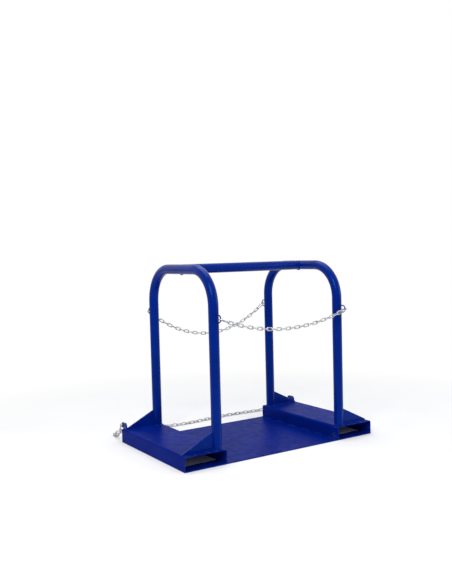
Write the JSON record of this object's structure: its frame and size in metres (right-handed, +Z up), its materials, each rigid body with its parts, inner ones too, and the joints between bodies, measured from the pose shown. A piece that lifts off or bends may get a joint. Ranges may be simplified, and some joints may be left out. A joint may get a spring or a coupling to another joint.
{
  "type": "gas cylinder bracket",
  "caption": "Fork-mounted platform with two tube hoops, a crossbar and retaining chains, carrying standing gas cylinders on a lift truck.",
  "frame": {"origin": "on the floor, under the middle of the deck plate", "axes": "+X to the right as seen from the loading side, +Y towards the truck, +Z up"},
  "size_m": [1.1234, 0.8956, 0.9161],
  "materials": {
    "blue_paint": "glossy ultramarine paint on welded steel",
    "zinc_chain": "bright zinc plated steel"
  },
  "bodies": {
    "frame": {"crossbar": "blue_paint", "deck_plate": "blue_paint", "left_carriage_lug": "blue_paint", "left_fork_pocket": "blue_paint", "left_front_gusset": "blue_paint", "left_front_pocket_strap": "blue_paint", "left_front_staple": "blue_paint", "left_hoop": "blue_paint", "left_rear_gusset": "blue_paint", "left_rear_pocket_strap": "blue_paint", "left_rear_staple": "blue_paint", "right_carriage_lug": "blue_paint", "right_fork_pocket": "blue_paint", "right_front_gusset": "blue_paint", "right_front_pocket_strap": "blue_paint", "right_front_staple": "blue_paint", "right_hoop": "blue_paint", "right_rear_gusset": "blue_paint", "right_rear_pocket_strap": "blue_paint", "right_rear_staple": "blue_paint"},
    "front_chain": {"front_chain_hook": "zinc_chain", "front_chain_hook_gate_pin": "zinc_chain", "front_chain_links": "zinc_chain", "front_chain_shackle": "zinc_chain", "front_chain_shackle_pin": "zinc_chain"},
    "front_chain_gate": {"front_chain_hook_gate": "zinc_chain"},
    "rear_chain": {"rear_chain_hook": "zinc_chain", "rear_chain_hook_gate_pin": "zinc_chain", "rear_chain_links": "zinc_chain", "rear_chain_shackle": "zinc_chain", "rear_chain_shackle_pin": "zinc_chain"},
    "rear_chain_gate": {"rear_chain_hook_gate": "zinc_chain"},
    "carriage_chain": {"carriage_chain_hook": "zinc_chain", "carriage_chain_hook_gate_pin": "zinc_chain", "carriage_chain_links": "zinc_chain", "carriage_chain_shackle": "zinc_chain", "carriage_chain_shackle_pin": "zinc_chain"},
    "carriage_chain_gate": {"carriage_chain_hook_gate": "zinc_chain"}
  },
  "joints": [
    {"name": "front_chain_swing", "type": "hinge", "parent": "frame", "child": "front_chain", "pos_m": [0, -0.35715, 0.67], "axis": [1, 0, 0], "range_deg": [-25, 30]},
    {"name": "rear_chain_swing", "type": "hinge", "parent": "frame", "child": "rear_chain", "pos_m": [0, 0.35715, 0.67], "axis": [1, 0, 0], "range_deg": [-30, 7]},
    {"name": "carriage_chain_lift", "type": "hinge", "parent": "frame", "child": "carriage_chain", "pos_m": [0, 0.343, 0.086], "axis": [1, 0, 0], "range_deg": [0, 75]},
    {"name": "front_chain_gate_open", "type": "hinge", "parent": "front_chain", "child": "front_chain_gate", "pos_m": [-0.3439, -0.36915, 0.65835], "axis": [-0.331, 0, -0.9436], "range_deg": [0, 25], "stiffness_Nm_per_rad": 0.02, "springref_deg": -11.46},
    {"name": "rear_chain_gate_open", "type": "hinge", "parent": "rear_chain", "child": "rear_chain_gate", "pos_m": [0.34917, 0.36915, 0.64866], "axis": [0.6078, 0, -0.7941], "range_deg": [0, 25], "stiffness_Nm_per_rad": 0.02, "springref_deg": -11.46},
    {"name": "carriage_chain_gate_open", "type": "hinge", "parent": "carriage_chain", "child": "carriage_chain_gate", "pos_m": [0.558, 0.36646, 0.05804], "axis": [0, -0.766, -0.6428], "range_deg": [0, 25], "stiffness_Nm_per_rad": 0.02, "springref_deg": -11.46}
  ]
}
